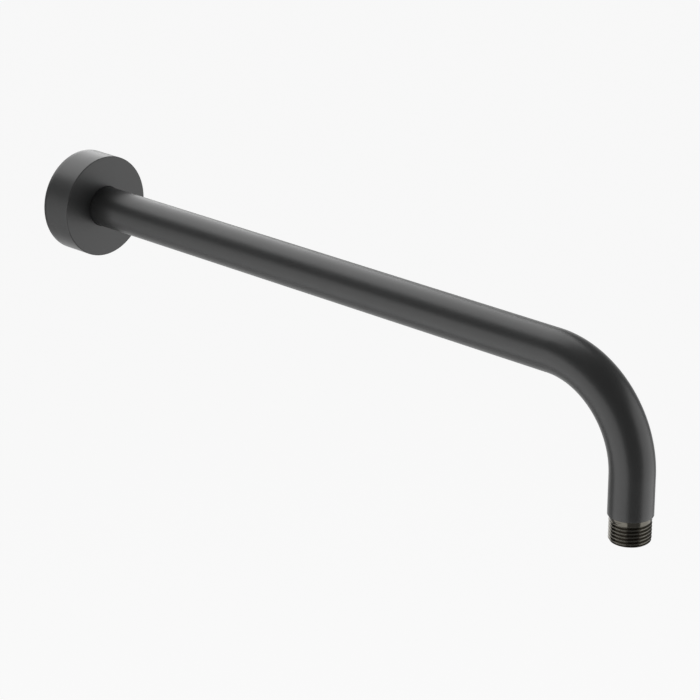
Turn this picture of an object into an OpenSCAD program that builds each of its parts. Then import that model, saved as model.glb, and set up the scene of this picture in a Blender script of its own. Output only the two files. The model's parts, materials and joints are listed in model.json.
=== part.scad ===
// Wall-mounted shower arm: bent tube, two threaded nipples and a loose wall flange on a rubber ring.
// The wall is the plane Y = 0, the arm leaves it along -Y and the outlet points down, along -Z.
// The origin is the centre of the flange's back face, on the axis of the arm.

/* [Arm] */
// Outside diameter of the tube
tube_d = 22.5; // [21.5:0.5:26]
// Wall thickness of the tube
tube_wall = 1.5; // [1:0.25:1.5]
// Distance from the wall to the axis of the outlet
reach = 400; // [200:10:500]
// Radius of the bend, on the centreline of the tube
bend_r = 50; // [40:5:80]
// Distance from the axis of the arm down to the end of the outlet
drop = 83.5; // [83.5:0.5:140]

/* [Nipples] */
// Outside diameter of the G1/2 thread
thread_d = 20.955; // [20.955]
// Diameter of the waterway through each nipple
water_d = 15; // [12:0.5:15]
// Length of the outlet nipple below the tube
outlet_h = 13.3; // [11:0.1:15]
// Length of the inlet nipple beyond the wall plane
inlet_h = 15; // [10:1:20]
// Gap between the wall plane and the tube's wall end
tube_gap = 1.2; // [0.8:0.2:3]
// Length of the spigot that is brazed into the tube
spigot_h = 10; // [6:1:12]
// Chamfer at the free end of each thread
thread_chamfer = 0.8; // [0.4:0.1:1.2]

/* [Flange] */
// Diameter of the flange
flange_d = 57; // [52:1:70]
// Depth of the flange, from the wall to its front face
flange_h = 19.5; // [16:0.5:25]
// Thickness of the flange's side wall
flange_wall = 2; // [1.5:0.5:3]
// Thickness of the flange's front wall
front_wall = 2.5; // [2:0.5:4]
// Rounding of the flange's front rim
rim_round = 0.5; // [0.3:0.1:1]
// Radial play between the flange and the tube
flange_play = 0.1; // [0.05:0.01:0.1]
// Outside diameter of the hub inside the flange
hub_d = 31; // [30:0.5:34]
// Length of the hub, from the front face inwards
hub_h = 8.5; // [7:0.5:12]

/* [Seal] */
// Thickness of the rubber ring
seal_t = 2; // [1.5:0.1:2]
// Radial play of the ring, on the tube and in its groove
seal_play = 0.05; // [0.02:0.01:0.1]
// Width of the groove in the hub
groove_w = 2.4; // [2.2:0.1:3]

/* [Hidden] */
$fn = 96;

tube_r = tube_d / 2;
water_r = water_d / 2;
bore_r = tube_r - tube_wall;
run_h = reach - bend_r;
tube_drop = drop - outlet_h;
edge = 0.3;
spigot_lead = 1;
mouth_chamfer = 0.5;
flange_r = flange_d / 2;
flange_bore_r = tube_r + flange_play;
hub_r = hub_d / 2;
seal_r = tube_r + seal_play + seal_t / 2;
groove_r = seal_r + seal_t / 2 + seal_play;
seal_at = flange_h - hub_h / 2;
cavity_round = 2;
over = 1;

matte_black = [0.13, 0.13, 0.14];
black_nickel = [0.22, 0.21, 0.19];
rubber_black = [0.05, 0.05, 0.05];

// Puts a part that is drawn along +Z, from the wall outwards, on the axis of the arm
module from_wall() {
    rotate([90, 0, 0]) children();
}

// Puts a part that is drawn along +Z, from the bend to the outlet, on the axis of the drop
module down_drop() {
    translate([0, -reach, -bend_r]) rotate([180, 0, 0]) children();
}

// Quarter bend of a round bar of radius r, from the end of the straight run to the top of the drop
module quarter_bend(r) {
    translate([0, -run_h, -bend_r])
        rotate([90, 0, -90])
            rotate_extrude(angle = 90)
                translate([bend_r, 0]) circle(r = r);
}

// Round bar of height h with a chamfer c at its far end
module chamfered_bar(r, h, c) {
    rotate_extrude()
        polygon([[0, 0], [r, 0], [r, h - c], [r - c, h], [0, h]]);
}

// Outside of the tube, with its edges broken at both ends
module tube_outside() {
    from_wall()
        translate([0, 0, run_h]) mirror([0, 0, 1]) chamfered_bar(tube_r, run_h - tube_gap, edge);
    quarter_bend(tube_r);
    down_drop() chamfered_bar(tube_r, tube_drop - bend_r, edge);
}

// Inside of the tube, which runs past both ends
module tube_inside() {
    from_wall()
        translate([0, 0, tube_gap - over]) cylinder(r = bore_r, h = run_h - tube_gap + over);
    quarter_bend(bore_r);
    down_drop() cylinder(r = bore_r, h = tube_drop - bend_r + over);
}

module arm_tube() {
    color(matte_black)
        difference() {
            tube_outside();
            tube_inside();
        }
}

// Turned nipple along +Z: a spigot below z = 0 fills the tube, and h of it stands out at thread diameter
module nipple(h) {
    thread_r = thread_d / 2;
    rotate_extrude()
        polygon([
            [water_r, -spigot_h],
            [bore_r - spigot_lead / 2, -spigot_h],
            [bore_r, -spigot_h + spigot_lead],
            [bore_r, 0],
            [thread_r, 0],
            [thread_r, h - thread_chamfer],
            [thread_r - thread_chamfer, h],
            [water_r + mouth_chamfer, h],
            [water_r, h - mouth_chamfer]
        ]);
}

module outlet_nipple() {
    color(black_nickel)
        down_drop() translate([0, 0, tube_drop - bend_r]) nipple(outlet_h);
}

module inlet_nipple() {
    color(black_nickel)
        from_wall() translate([0, 0, tube_gap]) mirror([0, 0, 1]) nipple(inlet_h + tube_gap);
}

// Half section of the flange's body: a round bar with a rounded front rim
module flange_section() {
    square([flange_r, flange_h - rim_round]);
    square([flange_r - rim_round, flange_h]);
    translate([flange_r - rim_round, flange_h - rim_round]) circle(r = rim_round);
}

// Half section of the hollow behind the front wall, with a rounded corner inside the rim
module cavity_section() {
    depth = flange_h - front_wall;
    inner_r = flange_r - flange_wall;
    translate([0, -over]) square([inner_r, depth - cavity_round + over]);
    translate([0, -over]) square([inner_r - cavity_round, depth + over]);
    translate([inner_r - cavity_round, depth - cavity_round]) circle(r = cavity_round);
}

// Half section of the hub that carries the ring
module hub_section() {
    translate([0, flange_h - hub_h]) square([hub_r, hub_h - front_wall / 2]);
}

module flange() {
    color(matte_black)
        from_wall()
            rotate_extrude()
                difference() {
                    union() {
                        difference() {
                            flange_section();
                            cavity_section();
                        }
                        hub_section();
                    }
                    translate([0, -over]) square([flange_bore_r, flange_h + 2 * over]);
                    translate([0, seal_at - groove_w / 2]) square([groove_r, groove_w]);
                }
}

module flange_seal() {
    color(rubber_black)
        from_wall()
            translate([0, 0, seal_at])
                rotate_extrude() translate([seal_r, 0]) circle(r = seal_t / 2);
}

arm_tube();
outlet_nipple();
inlet_nipple();
flange();
flange_seal();
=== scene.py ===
# %% [markdown]
# # A wall-mounted shower arm in matte black
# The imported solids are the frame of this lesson: a bent tube, two threaded nipples, a round wall flange and the
# rubber ring that holds the flange. They fix every size and place. What is missing is what the eye looks for: a
# satin powder coat, a real screw thread, the dark shine of the plating and the rounded edges that catch light.
# Everything below is in metres, in the frame of the solids: the wall is the plane Y = 0, the arm leaves it
# along -Y, and the outlet points down.

# %% Load the solids
import json
import math

import bmesh
import bpy
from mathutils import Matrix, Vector

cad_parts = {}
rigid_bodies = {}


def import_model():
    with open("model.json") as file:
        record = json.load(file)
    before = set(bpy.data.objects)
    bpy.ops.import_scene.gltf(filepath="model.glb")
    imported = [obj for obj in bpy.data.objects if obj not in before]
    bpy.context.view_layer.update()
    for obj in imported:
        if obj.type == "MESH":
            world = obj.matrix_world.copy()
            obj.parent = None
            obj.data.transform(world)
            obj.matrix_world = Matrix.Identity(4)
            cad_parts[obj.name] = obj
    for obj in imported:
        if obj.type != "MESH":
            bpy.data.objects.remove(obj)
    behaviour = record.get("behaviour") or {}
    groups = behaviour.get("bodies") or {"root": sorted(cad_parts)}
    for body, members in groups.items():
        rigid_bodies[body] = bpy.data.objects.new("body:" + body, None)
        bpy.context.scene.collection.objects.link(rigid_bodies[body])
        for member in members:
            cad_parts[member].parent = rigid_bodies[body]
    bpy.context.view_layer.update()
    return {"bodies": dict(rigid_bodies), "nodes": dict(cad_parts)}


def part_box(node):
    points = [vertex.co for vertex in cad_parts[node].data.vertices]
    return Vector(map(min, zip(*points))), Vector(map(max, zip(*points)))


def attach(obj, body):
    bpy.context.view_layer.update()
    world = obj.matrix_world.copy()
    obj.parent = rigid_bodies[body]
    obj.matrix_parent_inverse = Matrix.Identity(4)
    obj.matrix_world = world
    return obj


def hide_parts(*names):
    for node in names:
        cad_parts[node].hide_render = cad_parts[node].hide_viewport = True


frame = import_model()
for body in sorted(frame["bodies"]):
    print("body:", body)

# %% [markdown]
# ## Sizes
# Most sizes can be read from the solids' boxes, so that this script follows them. The box of a bent tube doesn't
# give its wall, its bend or its bore, so those are written here as the workshop would write them.

# %% Sizes from the solids
MM = 0.001
tube_low, tube_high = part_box("arm_tube")
flange_low, flange_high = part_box("flange")
outlet_low, outlet_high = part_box("outlet_nipple")
inlet_low, inlet_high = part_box("inlet_nipple")

TUBE_R = tube_high.x
TUBE_GAP = -tube_high.y
REACH = -tube_low.y - TUBE_R
TUBE_DROP = -tube_low.z
BEND_R = 50 * MM
BORE_R = TUBE_R - 1.5 * MM
RUN_LENGTH = REACH - BEND_R - TUBE_GAP
BEND_LENGTH = BEND_R * math.pi / 2
TUBE_LENGTH = RUN_LENGTH + BEND_LENGTH + TUBE_DROP - BEND_R
print(f"tube: {2000 * TUBE_R:.1f} mm across, {1000 * TUBE_LENGTH:.1f} mm long, reach {1000 * REACH:.0f} mm")

# %% [markdown]
# ## Turned pieces
# Almost everything on this fitting is made on a lathe, and the tube is drawn through a round die. So one helper
# is enough for all of it: it takes a closed outline of (radius, height) points and turns it round an axis. The
# third number of a point is the material of the stretch that starts there. Blender's Screw or Spin tool would do
# the same for a plain outline. Doing it in mesh code gives two things more: a radius that may change on the way
# round, which is what a screw thread is, and an axis that may bend, which is what the tube needs.

# %% Turn an outline
SEGMENTS = 144


def turned_mesh(name, outline, place, cut=None):
    """Turns a closed outline round its axis. place(x, y, height) puts a point in the frame of the solids."""
    count = len(outline)
    points = []
    for i in range(SEGMENTS):
        angle = 2 * math.pi * i / SEGMENTS
        for radius, height, _ in outline:
            r = cut(angle, radius, height) if cut else radius
            points.append(place(r * math.cos(angle), r * math.sin(angle), height))
    faces = []
    slots = []
    for i in range(SEGMENTS):
        this_row = i * count
        next_row = (i + 1) % SEGMENTS * count
        for j in range(count):
            k = (j + 1) % count
            faces.append((this_row + j, next_row + j, next_row + k, this_row + k))
            slots.append(outline[j][2])
    mesh = bpy.data.meshes.new(name)
    mesh.from_pydata(points, [], faces)
    mesh.polygons.foreach_set("material_index", slots)
    unwrap_turned(mesh, outline)
    return mesh


def unwrap_turned(mesh, outline):
    """Writes how far along the outline each corner is, in metres, for the marks that the tool leaves."""
    count = len(outline)
    along = [0.0]
    for j in range(count):
        radius, height, _ = outline[j]
        next_radius, next_height, _ = outline[(j + 1) % count]
        along.append(along[j] + math.hypot(next_radius - radius, next_height - height))
    corners = []
    for i in range(SEGMENTS):
        for j in range(count):
            for step, distance in ((0, along[j]), (1, along[j]), (1, along[j + 1]), (0, along[j + 1])):
                corners += [(i + step) / SEGMENTS, distance]
    layer = mesh.uv_layers.new(name="turned")
    layer.data.foreach_set("uv", corners)


# %% [markdown]
# Real edges are never sharp: the coat pulls back from them and the lathe breaks them. These two helpers make the
# points of a rounded corner and of a long straight side, because smooth shading needs points close to each side
# of a corner to keep the flat faces flat.

# %% Corners and straight sides
FINISH = 0
BARE = 1


def corner(radius, height, size, start, end, slot, steps=5):
    """Points of a rounded corner about (radius, height), from one angle to another, in degrees."""
    points = []
    for i in range(steps + 1):
        angle = math.radians(start + (end - start) * i / steps)
        points.append((radius + size * math.cos(angle), height + size * math.sin(angle), slot))
    return points


def side(start, end, rows, slot):
    """Points inside a straight stretch, its ends left out."""
    points = []
    for i in range(1, rows):
        share = i / rows
        radius = start[0] + (end[0] - start[0]) * share
        height = start[1] + (end[1] - start[1]) * share
        points.append((radius, height, slot))
    return points


# %% [markdown]
# A mesh becomes a piece of the fitting when it has its materials, its shading, the body that carries it and the
# solid that it stands for. Smooth shading is kept for curves, and edges of more than 35 degrees stay crisp.

# %% Make a piece
CRISP_ANGLE = math.radians(35)


def make_piece(mesh, body, node, materials):
    """Makes a mesh a piece that rides on a body, stands for a solid and takes its finish from a slot."""
    shell = bmesh.new()
    shell.from_mesh(mesh)
    bmesh.ops.recalc_face_normals(shell, faces=shell.faces)
    shell.to_mesh(mesh)
    shell.free()
    mesh.shade_smooth()
    mesh.set_sharp_from_angle(angle=CRISP_ANGLE)
    for material in materials:
        mesh.materials.append(material)
    piece = bpy.data.objects.new(mesh.name, mesh)
    bpy.context.scene.collection.objects.link(piece)
    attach(piece, body)
    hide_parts(node)
    print(f"{mesh.name}: {len(mesh.polygons)} faces")
    return piece


# %% [markdown]
# ## Finishes
# Five finishes cover the fitting: powder coat, dark plating, bare brass, rubber and nothing else. Three of them
# share a fine grain, so the grain is a node group with named inputs. It gives a height for a bump and a tone that
# drifts slowly over the surface, and each material sets its own scale.

# %% Node helpers
def new_group(name, inputs, outputs):
    """Starts a shader node group with named value inputs and outputs."""
    group = bpy.data.node_groups.new(name, "ShaderNodeTree")
    for label, value in inputs:
        socket = group.interface.new_socket(label, in_out="INPUT", socket_type="NodeSocketFloat")
        socket.default_value = value
    for label in outputs:
        group.interface.new_socket(label, in_out="OUTPUT", socket_type="NodeSocketFloat")
    entry = group.nodes.new("NodeGroupInput")
    leave = group.nodes.new("NodeGroupOutput")
    return group, entry, leave


def add_node(tree, kind, **settings):
    """Adds a node and sets its properties, or its inputs where a setting's name is that of an input."""
    node = tree.nodes.new(kind)
    for name, value in settings.items():
        if name in node.inputs:
            node.inputs[name].default_value = value
        else:
            setattr(node, name, value)
    return node


# %% Fine grain, shared by coat, rubber and brass
def make_grain_group():
    """Fine bumps over broader ones, and a slow drift of tone."""
    group, entry, leave = new_group("fine grain", [("Scale", 1500.0), ("Fineness", 4.0)], ["Height", "Tone"])
    place = add_node(group, "ShaderNodeTexCoord")
    fine_scale = add_node(group, "ShaderNodeMath", operation="MULTIPLY")
    drift_scale = add_node(group, "ShaderNodeMath", operation="MULTIPLY")
    drift_scale.inputs[1].default_value = 0.05
    group.links.new(entry.outputs["Scale"], fine_scale.inputs[0])
    group.links.new(entry.outputs["Fineness"], fine_scale.inputs[1])
    group.links.new(entry.outputs["Scale"], drift_scale.inputs[0])

    broad = add_node(group, "ShaderNodeTexNoise", Detail=1.0)
    fine = add_node(group, "ShaderNodeTexNoise", Detail=2.0)
    drift = add_node(group, "ShaderNodeTexNoise", Detail=3.0)
    for noise in (broad, fine, drift):
        group.links.new(place.outputs["Object"], noise.inputs["Vector"])
    group.links.new(entry.outputs["Scale"], broad.inputs["Scale"])
    group.links.new(fine_scale.outputs[0], fine.inputs["Scale"])
    group.links.new(drift_scale.outputs[0], drift.inputs["Scale"])

    blend = add_node(group, "ShaderNodeMix", data_type="FLOAT")
    blend.inputs["Factor"].default_value = 0.35
    group.links.new(broad.outputs["Fac"], blend.inputs["A"])
    group.links.new(fine.outputs["Fac"], blend.inputs["B"])
    group.links.new(blend.outputs["Result"], leave.inputs["Height"])
    group.links.new(drift.outputs["Fac"], leave.inputs["Tone"])
    return group


grain_group = make_grain_group()
print("node group:", grain_group.name)

# %% [markdown]
# A lathe leaves fine rings, even under plating. They follow the outline of the piece, so their group reads the
# distance along the outline that the turned mesh wrote, and makes a one-dimensional noise of it.

# %% Tool marks, shared by plating and brass
def make_rings_group():
    """Fine rings that follow the outline of a turned piece."""
    group, entry, leave = new_group("tool marks", [("Rings per metre", 9000.0)], ["Height"])
    layer = add_node(group, "ShaderNodeUVMap", uv_map="turned")
    split = add_node(group, "ShaderNodeSeparateXYZ")
    count = add_node(group, "ShaderNodeMath", operation="MULTIPLY")
    marks = add_node(group, "ShaderNodeTexNoise", noise_dimensions="1D", Scale=1.0, Detail=2.0)
    group.links.new(layer.outputs["UV"], split.inputs["Vector"])
    group.links.new(split.outputs["Y"], count.inputs[0])
    group.links.new(entry.outputs["Rings per metre"], count.inputs[1])
    group.links.new(count.outputs[0], marks.inputs["W"])
    group.links.new(marks.outputs["Fac"], leave.inputs["Height"])
    return group


rings_group = make_rings_group()
print("node group:", rings_group.name)


# %% Start a material
def new_surface(name, roughness, metallic=0.0):
    """A material with a Principled BSDF whose plain values are set on its own sockets."""
    material = bpy.data.materials.new(name)
    material.use_nodes = True
    tree = material.node_tree
    shader = tree.nodes["Principled BSDF"]
    shader.inputs["Roughness"].default_value = roughness
    shader.inputs["Metallic"].default_value = metallic
    return material, tree, shader


def drive_range(tree, source, target, low, high):
    """Feeds a value from 0.3 to 0.7, which is what noise gives, into a socket as low to high."""
    span = add_node(tree, "ShaderNodeMapRange")
    span.inputs["From Min"].default_value = 0.3
    span.inputs["From Max"].default_value = 0.7
    span.inputs["To Min"].default_value = low
    span.inputs["To Max"].default_value = high
    tree.links.new(source, span.inputs["Value"])
    tree.links.new(span.outputs["Result"], target)


def drive_colour(tree, source, target, dark, light):
    """Mixes two colours by a value and feeds them into a colour socket."""
    mix = add_node(tree, "ShaderNodeMix", data_type="RGBA")
    colour_inputs = [socket for socket in mix.inputs if socket.type == "RGBA"]
    colour_inputs[0].default_value = (*dark, 1)
    colour_inputs[1].default_value = (*light, 1)
    tree.links.new(source, mix.inputs["Factor"])
    result = [socket for socket in mix.outputs if socket.type == "RGBA"][0]
    tree.links.new(result, target)


def add_bump(tree, shader, source, depth):
    """Bump of a depth in metres."""
    bump = add_node(tree, "ShaderNodeBump", Strength=1.0)
    bump.inputs["Distance"].default_value = depth
    tree.links.new(source, bump.inputs["Height"])
    tree.links.new(bump.outputs["Normal"], shader.inputs["Normal"])


def use_group(tree, group, **values):
    """Places a node group and sets its inputs, whose names have spaces where the words here have underscores."""
    node = add_node(tree, "ShaderNodeGroup", node_tree=group)
    for name, value in values.items():
        node.inputs[name.replace("_", " ")].default_value = value
    return node


# %% [markdown]
# **Powder coat.** The black is baked powder: a plastic skin with a satin shine. From the photo's darkest parts its
# own colour is about two per cent grey, and all the rest that the eye sees is the rough reflection of the lamps.
# Under a loupe it has the low bumps of orange peel, under a millimetre across and a few thousandths deep.

# %% Powder coat
COAT_DARK = (0.0185, 0.0190, 0.0190)
COAT_LIGHT = (0.0225, 0.0230, 0.0230)


def make_coat():
    material, tree, shader = new_surface("matte black powder coat", 0.35)
    shader.inputs["IOR"].default_value = 1.5
    grain = use_group(tree, grain_group, Scale=1400.0, Fineness=4.0)
    drive_colour(tree, grain.outputs["Tone"], shader.inputs["Base Color"], COAT_DARK, COAT_LIGHT)
    drive_range(tree, grain.outputs["Tone"], shader.inputs["Roughness"], 0.33, 0.37)
    add_bump(tree, shader, grain.outputs["Height"], 0.004 * MM)
    return material


coat = make_coat()
print("material:", coat.name)

# %% [markdown]
# **Dark plating.** The nipples are plated in black nickel: a mirror that is nearly black, a little warm. It is a
# metal, so its colour is the colour of its reflections.

# %% Dark plating
PLATING_DARK = (0.085, 0.080, 0.068)
PLATING_LIGHT = (0.115, 0.109, 0.094)


def make_plating():
    material, tree, shader = new_surface("black nickel plating", 0.16, metallic=1.0)
    grain = use_group(tree, grain_group, Scale=900.0, Fineness=6.0)
    rings = use_group(tree, rings_group, Rings_per_metre=12000.0)
    drive_colour(tree, grain.outputs["Tone"], shader.inputs["Base Color"], PLATING_DARK, PLATING_LIGHT)
    drive_range(tree, grain.outputs["Height"], shader.inputs["Roughness"], 0.13, 0.20)
    add_bump(tree, shader, rings.outputs["Height"], 0.002 * MM)
    return material


plating = make_plating()
print("material:", plating.name)

# %% [markdown]
# **Bare brass.** Neither coat nor plating reaches far into a bore. The waterway is drawn brass, dulled to brown.

# %% Bare brass
BRASS_DARK = (0.22, 0.145, 0.06)
BRASS_LIGHT = (0.48, 0.345, 0.15)


def make_brass():
    material, tree, shader = new_surface("dull bare brass", 0.42, metallic=1.0)
    grain = use_group(tree, grain_group, Scale=600.0, Fineness=5.0)
    rings = use_group(tree, rings_group, Rings_per_metre=5000.0)
    drive_colour(tree, grain.outputs["Tone"], shader.inputs["Base Color"], BRASS_DARK, BRASS_LIGHT)
    drive_range(tree, grain.outputs["Tone"], shader.inputs["Roughness"], 0.5, 0.34)
    add_bump(tree, shader, rings.outputs["Height"], 0.004 * MM)
    return material


brass = make_brass()
print("material:", brass.name)

# %% [markdown]
# **Rubber.** The ring is moulded nitrile rubber: black, soft in its shine and slightly dusty.

# %% Rubber
RUBBER_DARK = (0.016, 0.016, 0.016)
RUBBER_LIGHT = (0.030, 0.029, 0.028)


def make_rubber():
    material, tree, shader = new_surface("black rubber", 0.6)
    grain = use_group(tree, grain_group, Scale=3000.0, Fineness=3.0)
    drive_colour(tree, grain.outputs["Tone"], shader.inputs["Base Color"], RUBBER_DARK, RUBBER_LIGHT)
    drive_range(tree, grain.outputs["Height"], shader.inputs["Roughness"], 0.5, 0.7)
    add_bump(tree, shader, grain.outputs["Height"], 0.01 * MM)
    return material


rubber = make_rubber()
print("material:", rubber.name)

# %% [markdown]
# ## The tube
# On the real arm a brass tube is drawn, cut, bent over a former and brushed before it is coated. Here its outline
# is that of a straight pipe, open at both ends, and the height along the pipe is laid along a path: straight out
# from the wall, round a quarter circle and down. Rows are close together only where the path bends.

# %% The path of the arm
def along_arm(x, y, distance):
    """A point beside the tube's middle line: x to the right, y away from the inside of the bend."""
    bend_start = RUN_LENGTH
    drop_start = RUN_LENGTH + BEND_LENGTH
    if distance <= bend_start:
        return (x, -TUBE_GAP - distance, y)
    if distance >= drop_start:
        return (x, -REACH - y, -BEND_R - (distance - drop_start))
    angle = (distance - bend_start) / BEND_R
    reach = (BEND_R + y) * math.sin(angle)
    height = (BEND_R + y) * math.cos(angle)
    return (x, BEND_R - REACH - reach, height - BEND_R)


# %% The coated tube
TUBE_EDGE = 0.3 * MM
RUN_ROWS = 30
BEND_ROWS = 60
DROP_ROWS = 6


def tube_rows(radius, slot):
    """Rows of the outside of the tube, from the wall end to the lower end."""
    bend_start = RUN_LENGTH
    drop_start = RUN_LENGTH + BEND_LENGTH
    rows = side((radius, TUBE_EDGE), (radius, bend_start), RUN_ROWS, slot)
    rows += [(radius, bend_start, slot)]
    rows += side((radius, bend_start), (radius, drop_start), BEND_ROWS, slot)
    rows += [(radius, drop_start, slot)]
    rows += side((radius, drop_start), (radius, TUBE_LENGTH - TUBE_EDGE), DROP_ROWS, slot)
    return rows


def tube_outline():
    """Closed outline of the pipe's wall: outside, lower end, inside, wall end."""
    outline = corner(TUBE_R - TUBE_EDGE, TUBE_EDGE, TUBE_EDGE, -90, 0, FINISH)
    outline += tube_rows(TUBE_R, FINISH)
    outline += corner(TUBE_R - TUBE_EDGE, TUBE_LENGTH - TUBE_EDGE, TUBE_EDGE, 0, 90, FINISH)
    outline += [(BORE_R, TUBE_LENGTH, BARE)]
    outline += list(reversed(tube_rows(BORE_R, BARE)))
    outline += [(BORE_R, 0.0, FINISH)]
    return outline


tube_mesh = turned_mesh("coated_tube", tube_outline(), along_arm)
tube = make_piece(tube_mesh, "arm", "arm_tube", [coat, brass])

# %% [markdown]
# ## The flange
# The flange is a round cover, turned and bored, that hides the hole in the wall. From the front it is a plain
# drum with a tight rounded rim. Behind it is hollow, and a hub in the middle carries the rubber ring.

# %% The flange's sizes
FLANGE_R = flange_high.x
FLANGE_H = -flange_low.y
FLANGE_WALL = 2 * MM
FRONT_WALL = 2.5 * MM
FLANGE_BORE_R = TUBE_R + 0.1 * MM
RIM_ROUND = 0.5 * MM
EDGE_BREAK = 0.15 * MM
HOLLOW_ROUND = 2 * MM
HUB_R = 15.5 * MM
HUB_H = 8.5 * MM
GROOVE_R = 13.35 * MM
GROOVE_W = 2.4 * MM


def on_arm_axis(x, y, height):
    """A point of a piece that is turned round the arm's axis, from the wall outwards."""
    return (x, -height, y)


# %% The flange's outline
def flange_outside():
    """From the back rim round the front face to the bore."""
    support = 0.4 * MM
    outline = corner(FLANGE_R - EDGE_BREAK, EDGE_BREAK, EDGE_BREAK, -90, 0, FINISH, steps=3)
    outline += side((FLANGE_R, EDGE_BREAK), (FLANGE_R, FLANGE_H - RIM_ROUND), 8, FINISH)
    outline += [(FLANGE_R, FLANGE_H - RIM_ROUND - support, FINISH)]
    outline += corner(FLANGE_R - RIM_ROUND, FLANGE_H - RIM_ROUND, RIM_ROUND, 0, 90, FINISH, steps=8)
    outline += [(FLANGE_R - RIM_ROUND - support, FLANGE_H, FINISH)]
    outline += side((FLANGE_R - RIM_ROUND, FLANGE_H), (FLANGE_BORE_R, FLANGE_H), 8, FINISH)
    outline += [(FLANGE_BORE_R + EDGE_BREAK + support, FLANGE_H, FINISH)]
    outline += corner(FLANGE_BORE_R + EDGE_BREAK, FLANGE_H - EDGE_BREAK, EDGE_BREAK, 90, 180, FINISH, steps=3)
    return outline


def flange_inside():
    """From the bore, with its groove, over the hub and the hollow to the back rim."""
    groove_at = FLANGE_H - HUB_H / 2
    hub_end = FLANGE_H - HUB_H
    hollow_r = FLANGE_R - FLANGE_WALL
    hollow_h = FLANGE_H - FRONT_WALL
    outline = [(FLANGE_BORE_R, groove_at + GROOVE_W / 2, BARE), (GROOVE_R, groove_at + GROOVE_W / 2, BARE)]
    outline += [(GROOVE_R, groove_at - GROOVE_W / 2, BARE), (FLANGE_BORE_R, groove_at - GROOVE_W / 2, BARE)]
    outline += [(FLANGE_BORE_R, hub_end, FINISH), (HUB_R - EDGE_BREAK, hub_end, FINISH)]
    outline += [(HUB_R, hub_end + EDGE_BREAK, FINISH), (HUB_R, hollow_h, FINISH)]
    outline += side((HUB_R, hollow_h), (hollow_r - HOLLOW_ROUND, hollow_h), 4, FINISH)
    outline += corner(hollow_r - HOLLOW_ROUND, hollow_h - HOLLOW_ROUND, HOLLOW_ROUND, 90, 0, FINISH, steps=8)
    outline += side((hollow_r, hollow_h - HOLLOW_ROUND), (hollow_r, EDGE_BREAK), 6, FINISH)
    outline += [(hollow_r, EDGE_BREAK, FINISH), (hollow_r + EDGE_BREAK, 0.0, FINISH)]
    return outline


flange_mesh = turned_mesh("coated_flange", flange_outside() + flange_inside(), on_arm_axis)
flange = make_piece(flange_mesh, "flange", "flange", [coat, brass])

# %% [markdown]
# The rubber ring keeps its solid, whose shape is right. It only gets its material.

# %% The rubber ring
ring = frame["nodes"]["flange_seal"]
for slot in ring.material_slots:
    slot.material = rubber
print("ring:", [slot.material.name for slot in ring.material_slots])

# %% [markdown]
# ## The screw thread
# Both nipples carry a half-inch pipe thread. Its section is the Whitworth one: flanks at 27.5 degrees, and crests
# and roots rounded to the same radius. A thread could be a helix swept round the bar and joined to it with a
# boolean, which leaves a ragged start and end. It is simpler to treat it as a height map: for each angle and
# height the helix says how far the point is from the nearest crest, and that gives the radius.

# %% The section of the thread
THREAD_PITCH = 25.4 * MM / 14
FLANK = math.radians(27.5)
THREAD_ROUND = 0.137329 * THREAD_PITCH
SHARP_EXTRA = 0.960491 * THREAD_PITCH / 6
THREAD_R = outlet_high.x
THREAD_DEPTH = 0.640327 * THREAD_PITCH
ARC_REACH = THREAD_ROUND * math.cos(FLANK)


def thread_radius(from_crest):
    """Radius of the thread at a distance from the middle of its crest, along the axis."""
    from_root = THREAD_PITCH / 2 - from_crest
    if from_crest < ARC_REACH:
        return THREAD_R - THREAD_ROUND + math.sqrt(THREAD_ROUND ** 2 - from_crest ** 2)
    if from_root < ARC_REACH:
        return THREAD_R - THREAD_DEPTH + THREAD_ROUND - math.sqrt(THREAD_ROUND ** 2 - from_root ** 2)
    return THREAD_R + SHARP_EXTRA - from_crest / math.tan(FLANK)


print(f"thread: pitch {1000 * THREAD_PITCH:.3f} mm, root at {1000 * thread_radius(THREAD_PITCH / 2):.2f} mm")

# %% [markdown]
# The tool starts at the free end, and near the collar it is drawn out of the metal within a third of a turn. So
# the groove is as deep as the place of its own middle says, and it fades out there. At the free end a chamfer
# cuts through the thread.

# %% Cutting the thread
COLLAR_H = 1.6 * MM
FADE = 0.35 * THREAD_PITCH
END_CHAMFER = 0.8 * MM


def thread_cutter(length, start_angle):
    """Returns the cut that turns a plain bar of that length into a threaded one."""

    def cut(angle, radius, height):
        if radius < BORE_R or height <= 0:
            return radius
        turns = (height - COLLAR_H) / THREAD_PITCH - (angle - start_angle) / (2 * math.pi)
        from_root = (turns - round(turns)) * THREAD_PITCH
        groove_at = height - from_root
        fade = min(max((groove_at - COLLAR_H) / FADE, 0.0), 1.0)
        cut_radius = thread_radius(THREAD_PITCH / 2 - abs(from_root))
        r = THREAD_R + (cut_radius - THREAD_R) * fade
        chamfer = THREAD_R - max(height - (length - END_CHAMFER), 0.0)
        return min(r, chamfer)

    return cut


# %% [markdown]
# A nipple is a short turned bar, bored through. A spigot fills the tube, a plain collar stands against the
# tube's end, and the thread follows. The rows of its outline are close together, because the thread is cut
# from them.

# %% The outline of a nipple
WATER_R = 7.5 * MM
SPIGOT_H = 10 * MM
SPIGOT_LEAD = 1 * MM
MOUTH = 0.5 * MM
THREAD_ROW = 0.085 * MM


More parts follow.
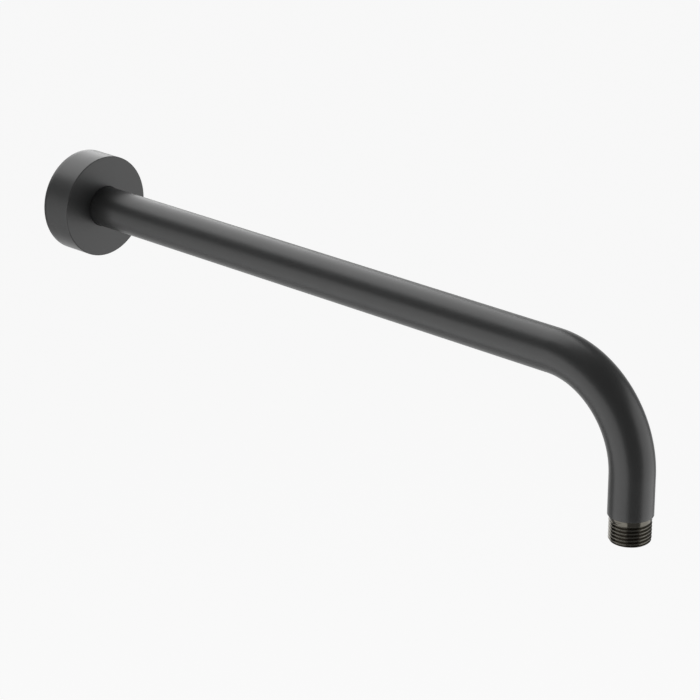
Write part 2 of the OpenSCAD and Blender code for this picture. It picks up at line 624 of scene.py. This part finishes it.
def nipple_outline(length):
    """Closed outline of a nipple, with height 0 at the end of the tube."""
    rows = round(length / THREAD_ROW)
    outline = [(BORE_R - SPIGOT_LEAD / 2, -SPIGOT_H, FINISH), (BORE_R, SPIGOT_LEAD - SPIGOT_H, FINISH)]
    outline += [(BORE_R, 0.0, FINISH), (THREAD_R - EDGE_BREAK, 0.0, FINISH)]
    outline += [(THREAD_R, length * i / rows, FINISH) for i in range(1, rows + 1)]
    outline += [(WATER_R + MOUTH, length, FINISH), (WATER_R, length - MOUTH, BARE)]
    outline += list(reversed(side((WATER_R, -SPIGOT_H), (WATER_R, length - MOUTH), 8, BARE)))
    outline += [(WATER_R, -SPIGOT_H, BARE)]
    return outline


# %% The two nipples
OUTLET_LENGTH = tube_low.z - outlet_low.z
INLET_LENGTH = inlet_high.y - tube_high.y
OUTLET_START = math.radians(150)
INLET_START = math.radians(20)


def below_tube(x, y, height):
    """A point of the outlet nipple, which hangs down from the end of the tube."""
    return (x, -REACH - y, -TUBE_DROP - height)


def behind_tube(x, y, height):
    """A point of the inlet nipple, which runs into the wall."""
    return (x, -TUBE_GAP + height, -y)


outlet_cut = thread_cutter(OUTLET_LENGTH, OUTLET_START)
outlet_mesh = turned_mesh("outlet_thread", nipple_outline(OUTLET_LENGTH), below_tube, outlet_cut)
outlet = make_piece(outlet_mesh, "arm", "outlet_nipple", [plating, brass])

inlet_cut = thread_cutter(INLET_LENGTH, INLET_START)
inlet_mesh = turned_mesh("inlet_thread", nipple_outline(INLET_LENGTH), behind_tube, inlet_cut)
inlet = make_piece(inlet_mesh, "arm", "inlet_nipple", [plating, brass])

# %% [markdown]
# ## The camera
# The photo was taken from far off with a long lens, from the left and above. The camera is set by where it
# stands and what it looks at, so that it has no roll.

# %% Camera
CAMERA_PLACE = Vector((-0.921, -1.1178, 0.4469))
CAMERA_TARGET = Vector((0.0, -0.2121, -0.0359))
CAMERA_LENS = 136.53


def make_camera():
    lens = bpy.data.cameras.new("camera")
    lens.lens = CAMERA_LENS
    lens.sensor_width = 36
    lens.clip_end = 60
    camera = bpy.data.objects.new("camera", lens)
    camera.location = CAMERA_PLACE
    camera.rotation_euler = (CAMERA_TARGET - CAMERA_PLACE).to_track_quat("-Z", "Y").to_euler()
    bpy.context.scene.collection.objects.link(camera)
    bpy.context.scene.camera = camera
    return camera


camera = make_camera()
print(f"camera: {(CAMERA_TARGET - CAMERA_PLACE).length:.2f} m from what it looks at")

# %% [markdown]
# ## The surroundings
# A black satin tube shows little of its own colour. What gives it its form is what it reflects, so the
# surroundings matter more than the lamps' strength. The photo's background is white and the studio round it is
# dim. One node group tells how far a direction points at the white background behind the object. It needs only a
# direction in the frame of the solids, so the world and the floor can both use it.

# %% How white a direction is
BACKGROUND_DIRECTION = (CAMERA_TARGET - CAMERA_PLACE).normalized()
WHITE_WITHIN = math.cos(math.radians(20))
DIM_BEYOND = math.cos(math.radians(50))


def make_backdrop_group():
    """Gives 1 for a direction towards the white background, and falls to 0 away from it."""
    group = bpy.data.node_groups.new("white backdrop", "ShaderNodeTree")
    group.interface.new_socket("Direction", in_out="INPUT", socket_type="NodeSocketVector")
    group.interface.new_socket("White", in_out="OUTPUT", socket_type="NodeSocketFloat")
    entry = group.nodes.new("NodeGroupInput")
    leave = group.nodes.new("NodeGroupOutput")
    unit = add_node(group, "ShaderNodeVectorMath", operation="NORMALIZE")
    toward = add_node(group, "ShaderNodeVectorMath", operation="DOT_PRODUCT")
    toward.inputs[1].default_value = BACKGROUND_DIRECTION
    ramp = add_node(group, "ShaderNodeMapRange", interpolation_type="SMOOTHSTEP")
    ramp.inputs["From Min"].default_value = DIM_BEYOND
    ramp.inputs["From Max"].default_value = WHITE_WITHIN
    group.links.new(entry.outputs["Direction"], unit.inputs[0])
    group.links.new(unit.outputs["Vector"], toward.inputs[0])
    group.links.new(toward.outputs["Value"], ramp.inputs["Value"])
    group.links.new(ramp.outputs["Result"], leave.inputs["White"])
    return group


backdrop_group = make_backdrop_group()
print("node group:", backdrop_group.name)


# %% What sees the background as it is
def background_share(tree, direction):
    """1 for camera and transmission rays, and for glossy rays as much as the direction is white."""
    path = add_node(tree, "ShaderNodeLightPath")
    white = add_node(tree, "ShaderNodeGroup", node_tree=backdrop_group)
    tree.links.new(direction, white.inputs["Direction"])
    glossy = add_node(tree, "ShaderNodeMath", operation="MULTIPLY")
    tree.links.new(path.outputs["Is Glossy Ray"], glossy.inputs[0])
    tree.links.new(white.outputs["White"], glossy.inputs[1])
    seen = add_node(tree, "ShaderNodeMath", operation="MAXIMUM")
    tree.links.new(path.outputs["Is Camera Ray"], seen.inputs[0])
    tree.links.new(path.outputs["Is Transmission Ray"], seen.inputs[1])
    share = add_node(tree, "ShaderNodeMath", operation="MAXIMUM")
    tree.links.new(seen.outputs[0], share.inputs[0])
    tree.links.new(glossy.outputs[0], share.inputs[1])
    return share.outputs[0]


# %% World
STUDIO_GREY = 0.24


def make_world():
    world = bpy.data.worlds.new("studio")
    bpy.context.scene.world = world
    world.use_nodes = True
    tree = world.node_tree
    light = tree.nodes["Background"]
    place = add_node(tree, "ShaderNodeTexCoord")
    share = background_share(tree, place.outputs["Generated"])
    grey = (STUDIO_GREY, STUDIO_GREY, STUDIO_GREY)
    drive_colour(tree, share, light.inputs["Color"], grey, (1, 1, 1))
    return world


world = make_world()
print("world:", world.name)

# %% [markdown]
# The arm hangs over head height, so the floor is two metres below it. It is pale and takes the arm's shadow. What
# the camera sees of it is nearly all white, because the photo has no floor to be seen.

# %% Floor
FLOOR_Z = -2.1
FLOOR_R = 18.0
FLOOR_COLOUR = (0.8, 0.8, 0.8)
WHITE_OF_FLOOR = 0.92


def make_floor():
    sheet = bmesh.new()
    bmesh.ops.create_circle(sheet, cap_ends=True, segments=96, radius=FLOOR_R)
    mesh = bpy.data.meshes.new("floor")
    sheet.to_mesh(mesh)
    sheet.free()
    material, tree, shader = new_surface("pale floor", 0.9)
    shader.inputs["Base Color"].default_value = (*FLOOR_COLOUR, 1)
    place = add_node(tree, "ShaderNodeNewGeometry")
    share = background_share(tree, place.outputs["Position"])
    part = add_node(tree, "ShaderNodeMath", operation="MULTIPLY")
    part.inputs[1].default_value = WHITE_OF_FLOOR
    tree.links.new(share, part.inputs[0])
    glow = add_node(tree, "ShaderNodeEmission", Strength=1.0)
    mix = add_node(tree, "ShaderNodeMixShader")
    tree.links.new(part.outputs[0], mix.inputs[0])
    tree.links.new(shader.outputs[0], mix.inputs[1])
    tree.links.new(glow.outputs[0], mix.inputs[2])
    tree.links.new(mix.outputs[0], tree.nodes["Material Output"].inputs["Surface"])
    mesh.materials.append(material)
    floor = bpy.data.objects.new("floor", mesh)
    floor.location = (0, 0, FLOOR_Z)
    bpy.context.scene.collection.objects.link(floor)
    return floor


floor = make_floor()
print("floor:", floor.location.z, "m")

# %% [markdown]
# ## The lamps
# Three soft boxes make the picture. One hangs behind and above and draws the bright upper edge of the tube. One
# stands at each side, a little below the arm. Between them is a dim gap on the camera's side, which is the dark
# line that runs down the middle of the tube. Each is given as the photographer would: how bright its cloth is,
# which way it lies, how wide and how high it is. Its power follows from its brightness and its area.

# %% Lamps
LAMP_DISTANCE = 2.5


def soft_box(name, brightness, azimuth, elevation, half_width, half_height):
    """An area lamp aimed at the arm. Angles are in degrees as seen from the arm, azimuth from +X towards +Y."""
    a = math.radians(azimuth)
    e = math.radians(elevation)
    toward = Vector((math.cos(e) * math.cos(a), math.cos(e) * math.sin(a), math.sin(e)))
    middle = Vector((0, -REACH / 2, 0))
    lamp = bpy.data.lights.new(name, "AREA")
    lamp.shape = "RECTANGLE"
    lamp.size = 2 * LAMP_DISTANCE * math.tan(math.radians(half_width))
    lamp.size_y = 2 * LAMP_DISTANCE * math.tan(math.radians(half_height))
    lamp.energy = brightness * math.pi * lamp.size * lamp.size_y
    holder = bpy.data.objects.new(name, lamp)
    holder.location = middle + toward * LAMP_DISTANCE
    holder.rotation_euler = (-toward).to_track_quat("-Z", "Y").to_euler()
    holder.visible_camera = False
    bpy.context.scene.collection.objects.link(holder)
    print(f"{name}: {lamp.size:.2f} x {lamp.size_y:.2f} m, {lamp.energy:.0f} W")
    return holder


soft_box("back_soft_box", 1.98, 74, 40, 31, 38)
soft_box("right_soft_box", 1.52, -51, -9, 34, 44)
soft_box("left_soft_box", 1.52, 165, -26, 36, 39)

# %% [markdown]
# ## The view transform
# The picture is shown as the shader makes it, with the plain view transform.

# %% View transform
bpy.context.scene.view_settings.view_transform = "Standard"
